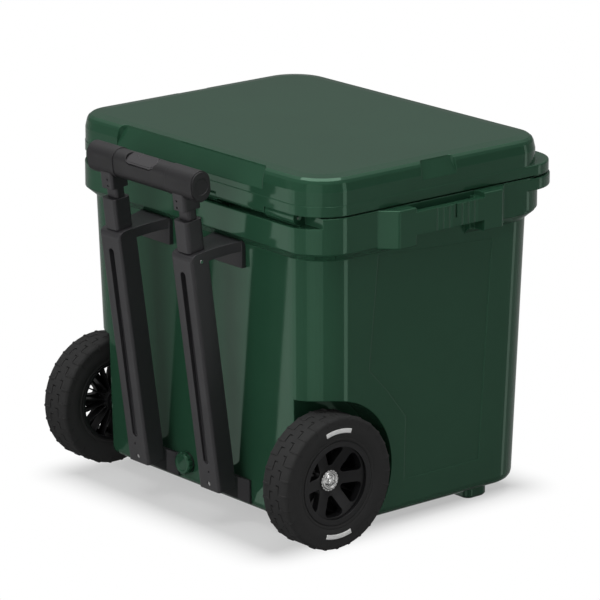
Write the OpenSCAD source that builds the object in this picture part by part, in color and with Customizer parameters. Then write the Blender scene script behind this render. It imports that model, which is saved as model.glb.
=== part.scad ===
// Wheeled cooler: insulated chest, hinged lid with two latches, two wheels on a
// through axle and a telescoping pull handle on the back. Millimetres, Z up.
// X runs side to side, the front is towards -Y, the handle and wheels towards +Y.

/* [Chest] */
// Length of the collar, side to side
chest_len = 529.4; // [500:0.2:580]
// Width of the collar, front to back
chest_wid = 415.4; // [400:0.2:450]
// Height of the rim that the lid closes on
rim_z = 450; // [420:1:480]
// Height of the chest's underside above the ground
under_z = 20; // [16:1:24]
// Height of the collar band
collar_h = 49; // [46:1:56]
// How far the collar stands out from the walls
collar_step = 11; // [8:0.5:14]
// Height of the slope under the collar
collar_slope = 11; // [8:0.5:14]
// Draft of the walls in degrees
draft = 1.5; // [1:0.1:2]
// Corner radius of the walls and the collar
corner_r = 57; // [50:1:58]
// Rounding along the bottom edge
edge_r = 12; // [8:1:14]
// Thickness of the shell
shell_t = 3; // [2.5:0.1:3.5]
// How far the front band stands out from the collar
front_band = 3.3; // [2:0.1:5]
// How far the front lip stands out from the collar
front_lip = 26; // [20:0.5:30]
// Height of the front lip
lip_h = 17; // [14:0.5:20]
// Rounding along the collar's edges
soft_r = 2; // [1.5:0.1:3]
// Depth of the recessed side panels
panel_d = 1.2; // [0.8:0.1:1.6]

/* [Inside] */
// Length of the inside at the rim
cavity_len = 384; // [350:1:384]
// Front wall of the inside, from the middle of the collar
cavity_front = 158; // [140:1:165]
// Back wall of the inside, from the middle of the collar
cavity_back = 142; // [125:1:144]
// Height of the inside's floor above the ground
floor_z = 45; // [40:1:60]
// Slope of the inside walls, millimetres in per millimetre down
cavity_slope = 0.02; // [0.01:0.005:0.03]
// Corner radius of the inside
cavity_r = 30; // [20:1:40]
// Thickness of the liner
liner_t = 3; // [2.5:0.1:3.5]

/* [Carry handles] */
// How far the side handles stand out from the collar
carry_out = 20.3; // [18:0.1:24]
// Back end of a handle block at the collar
carry_back = 104; // [95:1:110]
// Front end of a handle block at the collar
carry_front = 118; // [110:1:125]
// Run of the slanted ends
carry_ramp = 19.5; // [15:0.5:24]
// Height of a handle block
carry_h = 52; // [48:1:56]
// Back end of the hand opening
hand_back = 46; // [40:1:52]
// Front end of the hand opening
hand_front = 57; // [50:1:62]
// Thickness of the grip bar
bar_t = 11.5; // [9:0.5:13]
// How far the bar's top lies below the rim
bar_drop = 6.5; // [4:0.5:9]
// How far the bar's bottom lies above the block's bottom
bar_rise = 15; // [10:0.5:18]

/* [Lid] */
// Gap between the rim and the lid
lid_gap = 2; // [1.5:0.1:3]
// How far the lid stays inside the collar's outline
lid_inset = 0.4; // [0:0.1:1]
// Height of the lid's upright sides
lid_side = 33; // [30:1:40]
// Height from the sides' top to the raised panel
lid_crown = 19; // [16:0.5:22]
// Rise of the panel above the border's outer edge
panel_rise = 1.7; // [1:0.1:2.5]
// Width of the sloping border round the panel
border_w = 15.7; // [12:0.1:20]
// Depth of the long recess in the back edge
scallop_r = 13.5; // [11:0.5:14]
// How far that recess reaches down the lid's back
scallop_drop = 12; // [6:1:16]
// Half length of the back recess, without its round ends
scallop_half = 141; // [130:1:150]
// Depth of the strap notches in the side edges
notch_r = 11; // [9.5:0.5:12]
// How far the notches reach down the lid's sides
notch_drop = 8; // [4:1:12]
// Half length of a strap notch, without its round ends
notch_half = 19; // [15:1:24]
// Height of the front ledge
ledge_h = 16; // [13:0.5:18]
// Height of the proud band along the lid's bottom edge
lid_band = 13.5; // [11:0.5:15]
// How far that band is proud
band_step = 0.6; // [0.4:0.1:1]
// How far the ledge stands out from the lid's front
ledge_out = 24.4; // [20:0.2:26]
// Depth of the plug rib below the lid
plug_h = 9; // [6:0.5:12]
// Gap between the plug rib and the inside walls
plug_gap = 6; // [4:0.5:8]

/* [Hinge] */
// Radius of the hinge pins
pin_r = 3; // [2.5:0.1:3.5]
// Distance of the hinge axis from the lid's back face
axis_in = 10.3; // [9.5:0.1:11]
// Height of the hinge axis below the lid
axis_down = 5.5; // [5.2:0.1:6]
// Length of a lid knuckle
lid_knuckle = 98.5; // [90:0.5:105]
// Length of an outer body knuckle
body_knuckle = 58; // [50:0.5:60]
// Half length of the middle block
mid_block = 58; // [50:1:62]
// End gap between knuckles
knuckle_gap = 1; // [0.6:0.1:1.5]
// Opening angle of the lid in degrees
lid_angle = 95; // [92:1:96]

/* [Latches] */
// Distance of each latch from the middle
latch_x = 150; // [130:1:180]
// Width of a latch strap
latch_w = 40; // [34:1:46]
// Thickness of a latch strap
latch_t = 6; // [5:0.5:7]
// Depth of the pockets that the latches lie in
latch_pocket = 10; // [8:0.5:11]
// Radius of a latch pin
latch_pin_r = 2; // [1.5:0.1:2.5]

/* [Wheels] */
// Radius of the tyres
wheel_r = 91.5; // [85:0.5:95]
// Width of the tyres
wheel_w = 51; // [46:0.5:54]
// Outer radius of the rims
rim_r = 57; // [52:0.5:62]
// Outer face of the wheels, from the middle
wheel_face = 264.3; // [262:0.1:268]
// Distance of the axle from the collar's back face
axle_in = 39.8; // [37:0.1:44]
// Radius of the axle
axle_r = 6; // [5:0.1:7]
// Radius of the washers outside the wheels
washer_r = 14.3; // [13:0.1:16]
// Running clearance of the bushes
axle_fit = 0.06; // [0.04:0.01:0.1]
// Radius of the wheel arches
arch_r = 107; // [102:0.5:110]
// Inner wall of the wheel arches, from the middle
arch_x = 199; // [198:0.5:204]
// Number of tread lugs
lugs = 28; // [24:1:32]
// Width of the rims' spokes
spoke_w = 16; // [12:0.2:17]
// Number of rim windows
windows = 6; // [5:1:7]

/* [Pull handle] */
// Lean of the handle in degrees
lean = 6.93; // [5:0.01:8]
// Distance of the rails' back face from the collar's back face at the ground
rail_off = 21.9; // [20:0.1:26]
// Distance of each rail from the middle
rail_x = 77; // [72:0.5:84]
// Width of a rail
rail_w = 43; // [40:0.5:45]
// Depth of a rail at its foot
rail_d = 28.5; // [28:0.5:30]
// How much more the rails lean than the tubes in them, in degrees
rail_tilt = 0.9; // [0:0.1:1]
// How far the rails' top lies below the rim along the lean
rail_drop = 62; // [60:1:70]
// Lower end of the rails along the lean
rail_lo = 50; // [46:1:58]
// Width of the rails' plates and feet on the wall
plate_w = 60; // [54:1:68]
// Height of the underside of the rails' feet
foot_z = 27; // [24:1:34]
// Width of the groove in the rails' back
groove_w = 11; // [8:0.5:13]
// Width of the middle tubes
tube_w = 23; // [21:0.5:24]
// Depth of the middle tubes
tube_d = 14.5; // [13.5:0.5:15]
// Running gap between the telescoping tubes
tube_gap = 0.3; // [0.25:0.01:0.4]
// Wall of the middle tubes
mid_t = 2.5; // [2:0.1:2.8]
// Wall of the inner tubes
inner_t = 1.8; // [1.5:0.1:2.2]
// Width and depth of the middle tubes' collars
collar_w = 28; // [27:0.5:31]
// Height of the middle tubes' collars
tube_collar = 43; // [36:1:46]
// Height of the necks under the grip
neck_h = 13.7; // [11:0.1:16]
// Height of the sockets under the grip
socket_h = 20; // [18:0.5:24]
// Width of the sockets under the grip
socket_w = 25; // [22:0.5:28]
// Travel of each telescoping stage
travel = 250; // [200:5:260]
// Depth of the grip
grip_d = 30; // [28:0.5:32]
// Height of the grip
grip_h = 40; // [37:0.5:43]
// Length of the grip
grip_len = 226; // [216:1:240]
// Length of the grip's centre section
grip_mid = 112; // [100:1:116]
// How much fatter the end sections are
grip_fat = 1; // [0.5:0.1:1.5]
// Length of the button's recess
button_len = 64; // [56:1:70]
// Width of the button's recess
button_wid = 22; // [18:0.5:24]
// Travel of the button
button_travel = 3; // [2:0.5:3.5]
// Turn of the button from the grip's top towards the back in degrees
button_turn = 30; // [20:1:40]

/* [Drain and feet] */
// Distance of the drain from the middle
drain_x = 30; // [20:1:36]
// Radius of the drain's bore
drain_r = 6; // [5:0.5:7]
// Radius of the drain plug's cap
plug_r = 15.5; // [13:0.5:17]
// Length of a front foot
foot_len = 70; // [60:1:80]
// Width of a front foot
foot_wid = 40; // [34:1:46]
// Outer end of the front feet, from the middle
foot_x = 221; // [210:1:226]
// Back edge of the front feet, from the middle towards the front
foot_y = 98; // [90:1:110]

/* [Hidden] */
$fn = 72;
eps = 0.02;
thin = 0.2;                                       // thickness of the slabs that a form is drawn through
rest = 0.3;                                       // gap between pieces that rest on each other
hx = chest_len / 2;
hy = chest_wid / 2;
band_z = rim_z - collar_h;                        // underside of the collar band
slope_z = band_z - collar_slope;                  // where the slope meets the wall
dr = tan(draft);
wall_x = hx - collar_step;                        // walls at slope_z
wall_b = hy - collar_step;
wall_f = wall_b + 2.2;
function wall_back(z) = wall_b - (slope_z - z) * dr;
function wall_front(z) = -wall_f + (slope_z - z) * dr;
function wall_side(z) = wall_x - (slope_z - z) * dr;

lid_z = rim_z + lid_gap;                          // underside of the lid
lid_x = hx - lid_inset;
lid_y = hy - lid_inset;
side_z = lid_z + lid_side;
top_z = side_z + lid_crown;
shoulder_z = top_z - panel_rise;                  // outer edge of the sloping border
shoulder_in = 8.3;                                // how far the edge rounding and draft come in
ledge_y = -(lid_y + ledge_out);
lip_y = -(hy + front_lip);
lip_z = rim_z - 2 - lip_h;

axis_y = lid_y - axis_in;
axis_z = lid_z - axis_down;
knuckle_r = axis_in - 0.8;
pocket_r = knuckle_r + 0.4;
channel_y = axis_y - axis_in - 0.5;               // front wall of the hinge channel
tab_r = axis_down;
lk0 = mid_block + knuckle_gap;
lk1 = lk0 + lid_knuckle;
bk0 = lk1 + knuckle_gap;
bk1 = bk0 + body_knuckle;
lean_over = lid_angle - 90;                       // the shelf is the lid's stop
shelf_y = hy;
shelf_z = axis_z - (axis_in + sin(lean_over) * (shelf_y - axis_y)) / cos(lean_over) - rest;
function shelf_at(y) = shelf_z + (shelf_y - y) * tan(lean_over);

axle_y = hy - axle_in;
axle_z = wheel_r;
wheel_mid = wheel_face - wheel_w / 2;
hub_out = wheel_mid + 4.5;                        // outer face of the hub
hub_in = wheel_face - wheel_w + 2.5;
bush_r = axle_r + 2;
hub_r = bush_r + 8;

floor_d = drain_r + 0.5;
drain_z = floor_z + floor_d;

rail_hi = rim_z - rail_drop;                      // upper end of the rails along the lean
rail_y = hy + rail_off;                           // back face of the rails at the ground
tube_v = 0.75 - rail_d / 2;
back_hi = (rail_hi - rail_lo) * tan(rail_tilt);   // the rails' back face at their upper end
side_screw_v = tube_v + 2;
side_screw_r = 2.4;
inner_w = tube_w - 2 * mid_t - 2 * tube_gap;
inner_d = tube_d - 2 * mid_t - 2 * tube_gap;
mid_lo = rail_lo + 16;
mid_hi = rail_hi + rest + tube_collar;
inner_lo = mid_lo + 14;
neck_lo = mid_hi + rest;
socket_lo = neck_lo + neck_h;
grip_w = socket_lo + socket_h + grip_h / 2 - 3.2; // height of the grip's axis along the lean
grip_v = tube_v;
grip_end_r = grip_d / 2 + grip_fat;
grip_off = (grip_h - grip_d) / 2;

latch_y = lip_y + latch_pocket;                   // floor of the latch pockets
latch_z = lid_z + ledge_h + 7;                    // latch pins
latch_r = latch_pin_r + 4;
latch_front = latch_y - rest - latch_t - 6;

y_back = rail_y + grip_v * cos(lean) + grip_w * sin(lean) + grip_end_r + grip_off * sin(lean);
y_mid = (y_back + latch_front) / 2;

green = [0.13, 0.21, 0.16];
black = [0.08, 0.08, 0.085];
steel = [0.72, 0.72, 0.7];
pale = [0.86, 0.87, 0.85];

// Shapes shared by several pieces

module rr(x0, x1, y0, y1, r) {
  translate([x0, y0 + r]) square([x1 - x0, y1 - y0 - 2 * r]);
  translate([x0 + r, y0]) square([x1 - x0 - 2 * r, y1 - y0]);
  for (x = [x0 + r, x1 - r], y = [y0 + r, y1 - r]) translate([x, y]) circle(r);
}

module rc(w, d, r) rr(-w / 2, w / 2, -d / 2, d / 2, r);

module slab(z, x, y0, y1, r) translate([0, 0, z]) linear_extrude(thin) rr(-x, x, y0, y1, r, $fn = 64);

// A tapered tub with a rounded bottom edge; x, f and b are its walls at the top
module tub(x, f, b, z0, z1, t, r, e) hull() {
  for (a = [0 : 22.5 : 90]) let (z = z0 + e * (1 - cos(a)), d = e * (1 - sin(a)) + (z1 - z) * t)
    slab(z, x - d, f + d, b - d, max(r - e * (1 - sin(a)), 6));
  slab(z1 - thin, x, f, b, r);
}

module along_x(x0, x1, y, z, r) translate([x0, y, z]) rotate([0, 90, 0]) cylinder(h = x1 - x0, r = r);

module profile_x(x0, x1) translate([x0, 0, 0]) rotate([90, 0, 90]) linear_extrude(x1 - x0) children();

module both() { children(); mirror([1, 0, 0]) children(); }

module leaning() translate([0, rail_y, 0]) rotate([-lean, 0, 0]) children();

// Places the chest's middle so that the whole cooler is centred front to back
module place() translate([0, -y_mid, 0]) children();

// Chest

module wall_tub(inset, z0, z1) let (t = dr)
  tub(wall_x - inset, -wall_f + inset, wall_b - inset, z0, z1, t, corner_r - inset, edge_r - inset);

module collar_2d(inset) rr(-hx + inset, hx - inset, -hy + inset, hy - inset, corner_r - inset);

// An upright form with its bottom and top edges rounded by e
module soft_band(z0, z1, x, y0, y1, r, e) hull() {
  translate([0, 0, z0 + e]) linear_extrude(z1 - z0 - 2 * e) rr(-x, x, y0, y1, r, $fn = 64);
  for (a = [0, 45]) let (d = e * (1 - sin(a)), h = e * (1 - cos(a))) {
    slab(z0 + h, x - d, y0 + d, y1 - d, r - d);
    slab(z1 - h - thin, x - d, y0 + d, y1 - d, r - d);
  }
}

module collar_body() {
  hull() {
    slab(slope_z - thin, wall_x, -wall_f, wall_b, corner_r);
    slab(band_z, hx - 0.6, -hy + 0.6, hy - 0.6, corner_r - 0.6);
    translate([0, 0, band_z + 1.2]) linear_extrude(collar_h - 1.2 - soft_r) collar_2d(0, $fn = 64);
    for (a = [0, 45]) let (d = soft_r * (1 - sin(a)))
      slab(rim_z - soft_r * (1 - cos(a)) - thin, hx - d, -hy + d, hy - d, corner_r - d);
  }
  soft_band(band_z + 2.5, rim_z, hx, -hy - front_band, 0, corner_r, 1.5);
  soft_band(lip_z, lip_z + lip_h, hx, lip_y, 0, corner_r, soft_r);
}

module carry_block() hull() for (e = [[0, soft_r], [0.6, 0.6], [soft_r, 0]]) {
  for (z = [rim_z - carry_h + e[0], rim_z - e[0] - eps]) translate([0, 0, z]) linear_extrude(eps) {
    translate([hx - 8, -carry_front + e[1]]) square([8, carry_front + carry_back - 2 * e[1]]);
    for (y = [-carry_front + carry_ramp + 3, carry_back - carry_ramp - 3])
      translate([hx + carry_out - 5, y]) circle(5 - e[1], $fn = 32);
  }
}

module carry_cuts() {
  bar_lo = rim_z - carry_h + bar_rise;
  // hand opening behind the bar, flush with the wall below
  translate([wall_x, -hand_front, slope_z - 4])
    cube([hx + carry_out - bar_t - wall_x, hand_front + hand_back, rim_z - 10 - slope_z + 4]);
  translate([hx, -hand_front, slope_z]) cube([carry_out - bar_t, hand_front + hand_back, rim_z]);
  // under and over the bar
  translate([hx, -hand_front - 8, slope_z - 4])
    cube([carry_out + 1, hand_front + hand_back + 17, bar_lo - slope_z + 4]);
  translate([hx, -hand_front - 8, rim_z - bar_drop]) cube([carry_out + 1, hand_front + hand_back + 17, 20]);
  // strap slot and shallow flutes in the bar
  translate([hx + carry_out - 3, -16.5, rim_z - bar_drop - 18]) cube([4, 4, 20]);
  for (y = [17, 6, -5, -27, -38, -49]) translate([hx + carry_out + 3.1, y, slope_z])
    cylinder(h = collar_h + 30, r = 4);
}

module arch(grow) both() along_x(arch_x - grow, hx + 10, axle_y, axle_z, arch_r + grow);

module hinge_channel(grow) profile_x(-hx - 5, hx + 5) polygon([
  [channel_y - grow, shelf_at(channel_y) - grow], [shelf_y + 5, shelf_at(shelf_y + 5) - grow],
  [shelf_y + 5, rim_z + 5], [channel_y - grow, rim_z + 5]]);

module body_knuckle_2d() {
  translate([axis_y, axis_z]) circle(knuckle_r);
  translate([channel_y - 1, shelf_at(channel_y) - 1])
    square([axis_y - channel_y + 1, rim_z - shelf_at(channel_y) + 1]);
}

module side_panel(grow) both() translate([wall_x, 0, slope_z]) rotate([0, draft, 0])
  translate([-panel_d - grow, 0, 0]) rotate([90, 0, 90]) linear_extrude(panel_d + grow + 6)
    polygon([[-108 - grow, -16], [93 + grow, -4], [104 + grow, -160], [75 + grow, -190],
      [38 + grow, -236], [38 + grow, -325], [-96 - grow, -325]]);

// Inner face of the shell in the collar's slope and at the rim, d further in
module neck_2d(d) let (t = shell_t + 1 + d)
  rr(-wall_x + t, wall_x - t, -wall_f + t, wall_b - t, corner_r - t);

// The space between the shell and the liner
module shell_space() difference() {
  union() {
    wall_tub(shell_t, under_z + shell_t, slope_z);
    translate([0, 0, slope_z - 2]) linear_extrude(rim_z - slope_z + 3) neck_2d(0);
    translate([0, 0, band_z + shell_t]) linear_extrude(rim_z - liner_t - band_z - shell_t) collar_2d(shell_t);
  }
  arch(shell_t);
  hinge_channel(shell_t);
  side_panel(shell_t);
  both() translate([wall_x - shell_t, -hand_front - shell_t, 0])
    cube([30, hand_front + hand_back + 2 * shell_t, rim_z - 10 + shell_t]);
}

module liner_form(grow) tub(cavity_len / 2 + grow, -cavity_front - grow, cavity_back + grow,
  floor_z - grow, rim_z + (grow > 0 ? 0 : 1), cavity_slope, cavity_r + grow, 10 + grow);

module body_shell() color(green) {
  difference() {
    union() {
      wall_tub(0, under_z, slope_z);
      collar_body();
      both() carry_block();
    }
    shell_space();
    arch(0);
    hinge_channel(0);
    side_panel(0);
    both() carry_cuts();
    along_x(-arch_x - 5, arch_x + 5, axle_y, axle_z, axle_r + 0.05);
    translate([drain_x, axle_y, drain_z]) rotate([-90, 0, 0]) cylinder(h = 60, r = drain_r + 3.3);
    both() latch_pocket_cut(lip_z - 1, lip_z + lip_h + 1);
  }
  difference() {
    union() {
      profile_x(-mid_block, mid_block) body_knuckle_2d();
      both() profile_x(bk0, bk1) body_knuckle_2d();
    }
    both() along_x(mid_block - 12, bk1 + 1, axis_y, axis_z, pin_r + 0.05);
  }
}

module body_foam() color(pale) difference() {
  shell_space();
  translate([0, 0, rim_z - liner_t]) linear_extrude(20) square(2 * chest_len, center = true);
  liner_form(liner_t);
  along_x(-arch_x, arch_x, axle_y, axle_z, axle_r + 0.05);
  translate([drain_x, cavity_back - 20, drain_z]) rotate([-90, 0, 0]) cylinder(h = 99, r = drain_r + 3.3);
}

module body_liner() color(pale) difference() {
  union() {
    liner_form(liner_t);
    translate([0, 0, rim_z - liner_t]) linear_extrude(liner_t) intersection() {
      neck_2d(rest);
      translate([-hx, -hy]) square([2 * hx, hy + channel_y - shell_t - rest]);
    }
  }
  liner_form(0);
  translate([drain_x, cavity_back - 30, drain_z]) rotate([-90, 0, 0]) cylinder(h = 60, r = drain_r + 3.3);
}

module drain_fitting() color(black) translate([drain_x, 0, drain_z]) rotate([-90, 0, 0]) {
  y0 = cavity_back - (rim_z - drain_z) * cavity_slope - 1;
  y1 = wall_back(drain_z + drain_r + 12);
  difference() {
    union() {
      translate([0, 0, y0]) cylinder(h = y1 - y0 + 1, r = drain_r + 3);
      translate([0, 0, y1]) cylinder(h = 2.5, r = plug_r - 1);
    }
    translate([0, 0, y0 - 5]) cylinder(h = y1 - y0 + 20, r = drain_r);
  }
}

module drain_plug() color(green) translate([drain_x, 0, drain_z]) rotate([-90, 0, 0]) {
  y1 = wall_back(drain_z + drain_r + 12) + 2.5 + rest;
  translate([0, 0, y1 - 16]) cylinder(h = 17, r = drain_r - rest);
  difference() {
    union() {
      translate([0, 0, y1]) cylinder(h = 6, r = plug_r);
      translate([0, 0, y1 + 6]) cylinder(h = 2, r1 = plug_r, r2 = plug_r - 2);
    }
    for (a = [0 : 30 : 330]) rotate(a) translate([plug_r + 0.8, 0, y1 - 1]) cylinder(h = 12, r = 1.8);
    translate([0, 0, y1 + 7]) cylinder(h = 9, r1 = plug_r - 6, r2 = plug_r + 2);
  }
}

module front_feet() color(green) both() difference() {
  union() {
    translate([0, 0, 3]) linear_extrude(under_z - 3 + 2)
      rr(foot_x - foot_len, foot_x, -foot_y - foot_wid, -foot_y, 12);
    hull() {
      translate([0, 0, 3]) linear_extrude(eps) rr(foot_x - foot_len, foot_x, -foot_y - foot_wid, -foot_y, 12);
      linear_extrude(eps) rr(foot_x - foot_len + 3, foot_x - 3, -foot_y - foot_wid + 3, -foot_y - 3, 9);
    }
  }
  wall_tub(0, under_z, slope_z);
}

// Lid

// Rise and inset of the lid's upper edge, from its upright sides to the border
crown = [[0.62, 2.5], [0.83, 4.4], [1, shoulder_in]];

module lid_form(inset, z0) hull() {
  translate([0, 0, z0]) linear_extrude(side_z - inset - z0)
    rr(-lid_x + inset, lid_x - inset, -lid_y + inset, lid_y - inset, corner_r - inset, $fn = 64);
  for (c = crown) let (z = side_z + c[0] * (shoulder_z - side_z) - inset, d = c[1] + inset)
    slab(z - thin, lid_x - d, -lid_y + d, lid_y - d, corner_r - d);
  let (d = shoulder_in + border_w + inset)
    slab(top_z - inset - thin, lid_x - d, -lid_y + d, lid_y - d, max(corner_r - d, 8));
}

// Wedge cut into an upright face at y: nothing at z0, d deep at z1, its ends rounded in plan
module scallop(half, y, z0, z1, d) intersection() {
  profile_x(-half - d, half + d) polygon([[y + 1, z0 - 1], [y, z0], [y - d, z1], [y - d, z1 + 40],
    [y + 40, z1 + 40], [y + 40, z0 - 1]]);
  translate([0, 0, z0 - 2]) linear_extrude(z1 - z0 + 40) rr(-half - d, half + d, y - d - 1, y + 40, d);
}

// Long recess in the back edge and strap notches in the sides, grown for the space inside
module lid_scallops(g) {
  scallop(scallop_half, lid_y, side_z - scallop_drop - g, shoulder_z - 2, scallop_r + g);
  for (s = [-1, 1]) translate([0, -3, 0]) rotate(s * 90)
    scallop(notch_half, lid_x, side_z - notch_drop - g, shoulder_z - 2, notch_r + g);
}

module lid_space() difference() {
  lid_form(shell_t, lid_z - 1);
  lid_scallops(shell_t);
  translate([-hx, channel_y - shell_t, lid_z - 5]) cube([2 * hx, 60, pocket_r + 4]);
}

module tab_2d() {
  translate([axis_y, axis_z]) circle(tab_r);
  translate([lid_y - tab_r, axis_z]) circle(tab_r);
  translate([axis_y - tab_r, axis_z]) square([axis_in + tab_r, axis_down + 1]);
  translate([axis_y, axis_z - tab_r]) square([axis_in - tab_r, tab_r + 1]);
}

module latch_pocket_cut(z0, z1) translate([latch_x - latch_w / 2 - 1, lip_y - 5, z0])
  cube([latch_w + 2, latch_pocket + 5, z1 - z0]);

module latch_ears() for (s = [-1, 1]) translate([latch_x + s * (latch_w / 2 + 4) - 2.5, 0, 0])
  profile_x(0, 5) {
    translate([latch_y - 1, latch_z]) circle(latch_pin_r + 3);
    polygon([[latch_y - 5, lid_z + ledge_h - 4], [latch_y - 1 - latch_pin_r - 3, latch_z],
      [latch_y - 1, latch_z + latch_pin_r + 3], [-lid_y + 2, latch_z + 5], [-lid_y + 2, lid_z + ledge_h - 4]]);
  }

module lid_shell() color(green) difference() {
  union() {
    lid_form(band_step, lid_z);
    translate([0, 0, lid_z]) linear_extrude(lid_band) rr(-lid_x, lid_x, -lid_y, lid_y, corner_r);
    difference() {
      soft_band(lid_z - 2, lid_z - 2 + ledge_h, lid_x, ledge_y, 0, corner_r, soft_r);
      // clear of the rim and its front band
      translate([0, 0, lid_z - 5]) linear_extrude(5) rr(-hx - 4, hx + 4, -hy - 4, 80, corner_r + 4);
    }
    both() profile_x(lk0, lk1) tab_2d();
    both() latch_ears();
  }
  lid_space();
  lid_scallops(0);
  along_x(-mid_block - knuckle_gap, mid_block + knuckle_gap, axis_y, axis_z, pocket_r);
  both() along_x(lk1, bk1 + knuckle_gap, axis_y, axis_z, pocket_r);
  both() along_x(lk0 - 1, lk1 + 1, axis_y, axis_z, pin_r + 0.06);
  both() latch_pocket_cut(lid_z - 3, lid_z + ledge_h);
  both() along_x(latch_x - latch_w, latch_x + latch_w, latch_y - 1, latch_z, latch_pin_r + 0.05);
}

module lid_foam() color(pale) difference() {
  lid_space();
  translate([0, 0, lid_z - 5]) linear_extrude(5 + liner_t) square(2 * chest_len, center = true);
}

module lid_liner() color(pale) difference() {
  union() {
    translate([0, 0, lid_z]) linear_extrude(liner_t) intersection() {
      let (t = shell_t + rest) rr(-lid_x + t, lid_x - t, -lid_y + t, lid_y - t, corner_r - t);
      translate([-hx, -hy]) square([2 * hx, hy + channel_y - shell_t - rest]);
    }
    translate([0, 0, lid_z - lid_gap - plug_h]) linear_extrude(plug_h + lid_gap + 1) plug_2d(0);
  }
  translate([0, 0, lid_z - lid_gap - plug_h - 1]) linear_extrude(plug_h + lid_gap) plug_2d(14);
  translate([0, 0, lid_z - 1]) linear_extrude(2.2) gasket_2d(0);
}

module plug_2d(d) {
  x = cavity_len / 2 - plug_gap - d;
  rr(-x, x, -cavity_front + plug_gap + d, cavity_back - plug_gap - d, cavity_r - plug_gap - d / 2);
}

module gasket_2d(d) difference() {
  rr(-cavity_len / 2 - 14 + d, cavity_len / 2 + 14 - d, -cavity_front - 14 + d, cavity_back + 14 - d,
    cavity_r + 14 - d);
  rr(-cavity_len / 2 - 6 - d, cavity_len / 2 + 6 + d, -cavity_front - 6 - d, cavity_back + 6 + d,
    cavity_r + 6 + d);
}

module lid_gasket() color(black) {
  translate([0, 0, lid_z - lid_gap + 1.3]) linear_extrude(lid_gap - 0.2) gasket_2d(0);
  translate([0, 0, rim_z + rest]) linear_extrude(1.2) gasket_2d(1.5);
}

module hinge_pins() color(steel) both() along_x(mid_block - 10, bk1 + 1.5, axis_y, axis_z, pin_r);

module latch() color(black) difference() {
  union() {
    along_x(latch_x - latch_w / 2, latch_x + latch_w / 2, latch_y - 1, latch_z, latch_r);
    profile_x(latch_x - latch_w / 2, latch_x + latch_w / 2) hull() {
      translate([latch_y - rest - latch_t, lip_z - 12]) square([latch_t, 1]);
      translate([latch_y - 1 - latch_r, latch_z]) square([latch_t - 1, 1]);
      translate([latch_y - rest - latch_t, lid_z + ledge_h - 6]) square([latch_t, 1]);
    }
    profile_x(latch_x - latch_w / 2, latch_x + latch_w / 2) hull() {
      translate([latch_front + 4, lip_z - 9]) circle(4);
      translate([latch_y - rest - 4, lip_z - 9]) circle(4);
    }
  }
  along_x(latch_x - latch_w, latch_x + latch_w, latch_y - 1, latch_z, latch_pin_r + 0.06);
  translate([latch_x - 9, latch_front - 2, lip_z + 6]) cube([18, 9.5, 22]);
}

module latch_pins() color(steel) both()
  along_x(latch_x - latch_w / 2 - 6, latch_x + latch_w / 2 + 6, latch_y - 1, latch_z, latch_pin_r);

// Running gear

module wheel_frame() translate([wheel_mid, axle_y, axle_z]) rotate([0, 90, 0]) children();

module axle() color(steel) along_x(-hub_out, hub_out, axle_y, axle_z, axle_r);

module axle_spacers() color(black) both() difference() {
  along_x(arch_x, hub_in - rest, axle_y, axle_z, axle_r + 5);
  along_x(arch_x - 1, hub_in + 1, axle_y, axle_z, axle_r + 0.05);
}

module axle_washers() color(steel) both() translate([hub_out + rest, axle_y, axle_z]) rotate([0, 90, 0])
  difference() {
    cylinder(h = 1.6, r = washer_r);
    for (a = [0 : 20 : 340]) rotate(a) translate([washer_r + 0.3, 0, -1]) rotate(45)
      translate([-1.2, -1.2, 0]) cube([2.4, 2.4, 4]);
    translate([0, 0, -1]) cylinder(h = 4, r = axle_r - 2);
  }

module axle_bolts() color(steel) both() translate([hub_out + rest, axle_y, axle_z]) rotate([0, 90, 0]) {
  translate([0, 0, 1.6]) cylinder(h = 4, r = axle_r + 0.4, $fn = 6);
  translate([0, 0, -rest]) cylinder(h = 2, r = axle_r - 2.05);
}

module bush() color(steel) difference() {
  along_x(hub_in, hub_out, axle_y, axle_z, bush_r);
  along_x(hub_in - 1, hub_out + 1, axle_y, axle_z, axle_r + axle_fit);
}

module rim_window() offset(r = 5) offset(delta = -5) intersection() {
  difference() {
    circle(rim_r - 9);
    circle(hub_r + 4);
  }
  let (a = 180 / windows, apex = spoke_w / 2 / sin(a))
    polygon([[apex, 0], [apex + 90, 90 * tan(a)], [apex + 90, -90 * tan(a)]]);
}

module rim() color(black) wheel_frame() {
  w = wheel_w / 2 - 3;
  web = 2;
  difference() {
    rotate_extrude() {
      translate([rim_r - 4, -w]) square([4, 2 * w]);
      translate([rim_r - 7.5, w - 4]) square([7, 4]);
      translate([bush_r, hub_in - wheel_mid]) square([hub_r - bush_r, hub_out - hub_in]);
      polygon([[hub_r - 1, web - 7], [rim_r - 3, w - 16], [rim_r - 3, w - 4.5], [hub_r - 1, web + 2.5]]);
    }
    for (i = [0 : windows - 1]) rotate(i * 360 / windows) translate([0, 0, -40]) linear_extrude(80)
      rim_window();
  }
  for (i = [0 : 3 * windows - 1]) rotate(i * 120 / windows) translate([hub_r - 1, -0.9, -w + 4])
    cube([rim_r - hub_r - 2, 1.8, w + web - 11]);
}

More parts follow.
